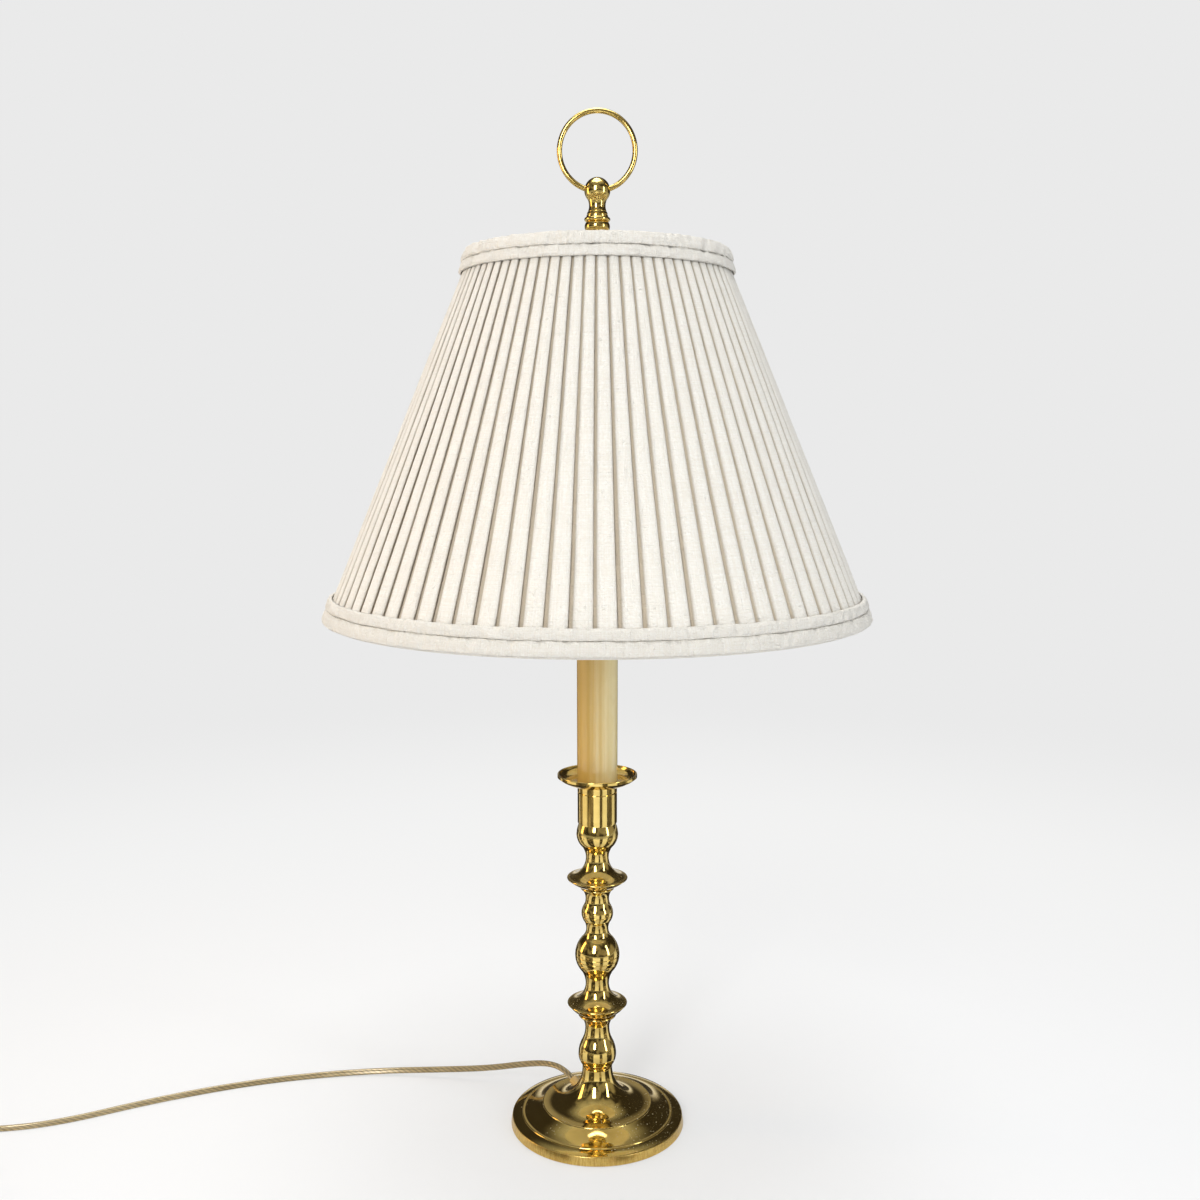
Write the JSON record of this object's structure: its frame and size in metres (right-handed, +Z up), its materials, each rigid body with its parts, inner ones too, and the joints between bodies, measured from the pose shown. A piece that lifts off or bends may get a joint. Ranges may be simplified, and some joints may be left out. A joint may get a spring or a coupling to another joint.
{
  "type": "candlestick table lamp",
  "caption": "Turned candlestick table lamp with a pleated cone shade on a wire harp and a ring finial.",
  "frame": {"origin": "on the lamp's axis, at the underside of the felt pad", "axes": "+Z up; the front is -Y; the harp and the finial's ring lie in the XZ plane"},
  "size_m": [0.7912, 0.411, 0.7876],
  "materials": {
    "polished_brass": "highly polished, lacquered",
    "felt": "matt wool felt",
    "cast_iron": "rough casting",
    "clear_plastic": "translucent gold",
    "zinc_steel": "zinc plated",
    "candle_plastic": "glossy beige candle cover",
    "plated_harp": "brass plated wire",
    "socket_brass": "satin brass shell",
    "insulating_card": "brown card",
    "insulator": "moulded black",
    "bulb_metal": "thin screw cap",
    "frosted_glass": "white frosted",
    "shade_wire": "white coated wire",
    "shade_lining": "white lining",
    "linen": "pleated slubby linen",
    "linen_trim": "folded linen band",
    "gold_cord": "clear gold twin cord",
    "plug_plastic": "moulded gold"
  },
  "bodies": {
    "lamp": {"felt_pad": "felt", "base_weight": "cast_iron", "base_foot": "polished_brass", "cord_bush": "clear_plastic", "pear_baluster": "polished_brass", "lower_disc": "polished_brass", "vase_baluster": "polished_brass", "stem_knop": "polished_brass", "upper_disc": "polished_brass", "candle_cup": "polished_brass", "drip_pan": "polished_brass", "threaded_rod": "zinc_steel", "rod_nut": "zinc_steel", "rod_washer": "zinc_steel", "candle_cover": "candle_plastic", "candle_cap": "polished_brass", "harp_saddle": "plated_harp", "harp_wire": "plated_harp", "harp_stud": "plated_harp", "socket_cap": "socket_brass", "socket_shell": "socket_brass", "socket_sleeve": "insulating_card", "socket_body": "insulator", "terminal_screws": "socket_brass", "socket_screw_shell": "socket_brass", "socket_contact": "socket_brass", "inner_cord": "gold_cord", "cord_free": "gold_cord", "cord_coil": "gold_cord", "plug_body": "plug_plastic", "plug_blades": "socket_brass"},
    "switch": {"switch_shaft": "socket_brass", "switch_knob": "insulator"},
    "ferrule_left": {"harp_ferrule_left": "plated_harp"},
    "ferrule_right": {"harp_ferrule_right": "plated_harp"},
    "bulb": {"bulb_cap": "bulb_metal", "bulb_tip": "bulb_metal", "bulb_glass": "frosted_glass"},
    "shade": {"spider_washer": "plated_harp", "spider_arms": "plated_harp", "shade_top_ring": "shade_wire", "shade_bottom_ring": "shade_wire", "shade_lining": "shade_lining", "pleated_cover": "linen", "top_trim": "linen_trim", "bottom_trim": "linen_trim"},
    "finial": {"finial_body": "polished_brass", "finial_ring": "polished_brass"}
  },
  "joints": [
    {"name": "shade_swivel", "type": "hinge", "parent": "lamp", "child": "shade", "pos_m": [0, 0, 0.675], "axis": [0, 0, 1], "continuous": true},
    {"name": "finial_turn", "type": "hinge", "parent": "lamp", "child": "finial", "pos_m": [0, 0, 0.68], "axis": [0, 0, 1], "continuous": true},
    {"name": "bulb_turn", "type": "hinge", "parent": "lamp", "child": "bulb", "pos_m": [0, 0, 0.49], "axis": [0, 0, 1], "continuous": true},
    {"name": "switch_turn", "type": "hinge", "parent": "lamp", "child": "switch", "pos_m": [0, -0.0183, 0.4711], "axis": [0, -1, 0], "continuous": true},
    {"name": "ferrule_left_lift", "type": "slide", "parent": "lamp", "child": "ferrule_left", "axis": [0, 0, 1], "range_m": [0, 0.012]},
    {"name": "ferrule_right_lift", "type": "slide", "parent": "lamp", "child": "ferrule_right", "axis": [0, 0, 1], "range_m": [0, 0.012]}
  ]
}
